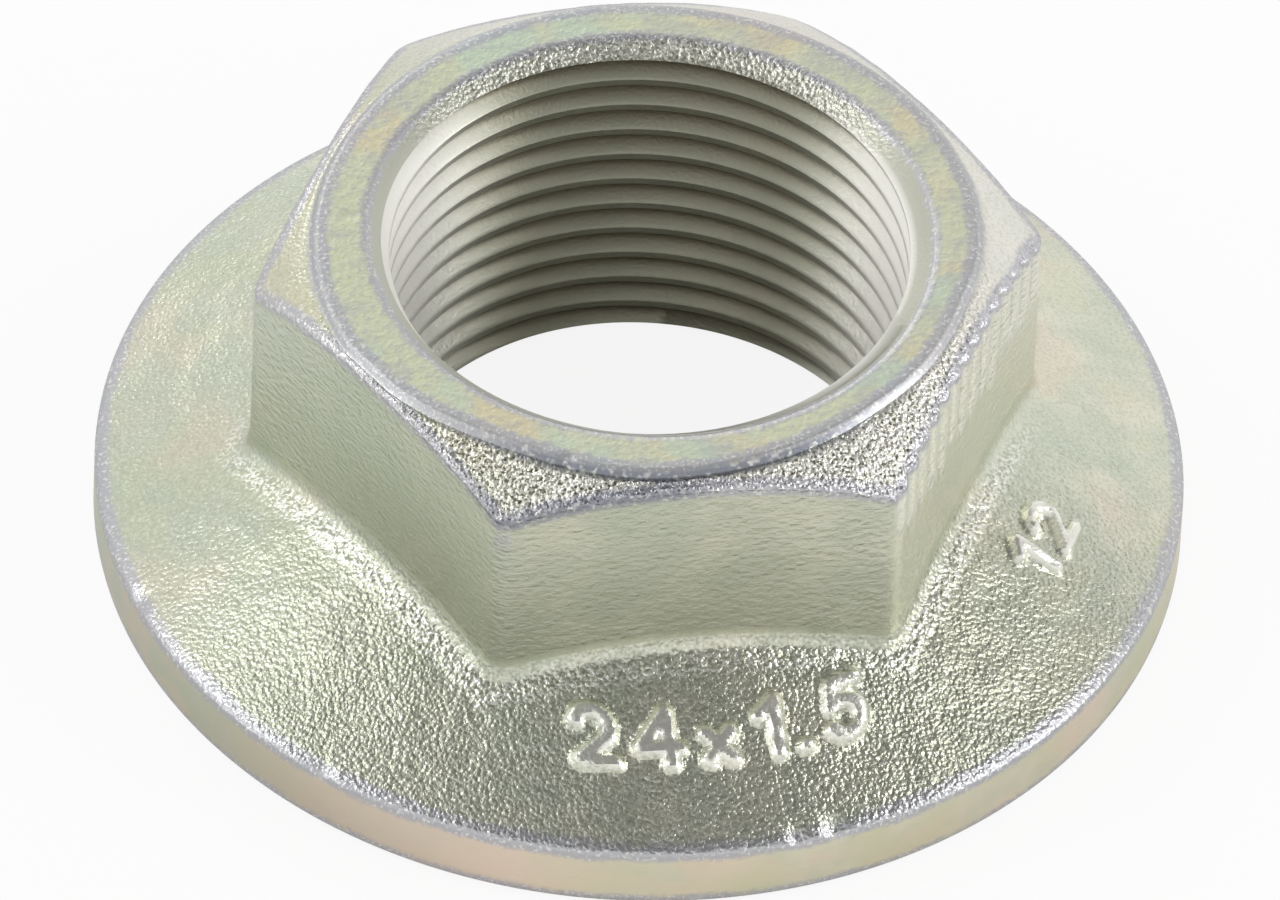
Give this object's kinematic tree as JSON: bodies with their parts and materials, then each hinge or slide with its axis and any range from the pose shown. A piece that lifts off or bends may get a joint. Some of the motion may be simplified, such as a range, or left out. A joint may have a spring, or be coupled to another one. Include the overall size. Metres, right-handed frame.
{
  "type": "flange nut",
  "caption": "Forged hexagon flange nut with a fine thread, a flat ring and chamfer on top and a sloping round flange.",
  "frame": {"origin": "centre of the bearing face, on the thread's axis", "axes": "+Z along the thread's axis from the bearing face to the hexagon's top, +X through a corner of the hexagon"},
  "size_m": [0.0472, 0.0472, 0.017],
  "materials": {
    "plated_steel": "forged steel with a worn pale yellow-green zinc plating"
  },
  "bodies": {
    "root": {"nut": "plated_steel"}
  },
  "joints": []
}
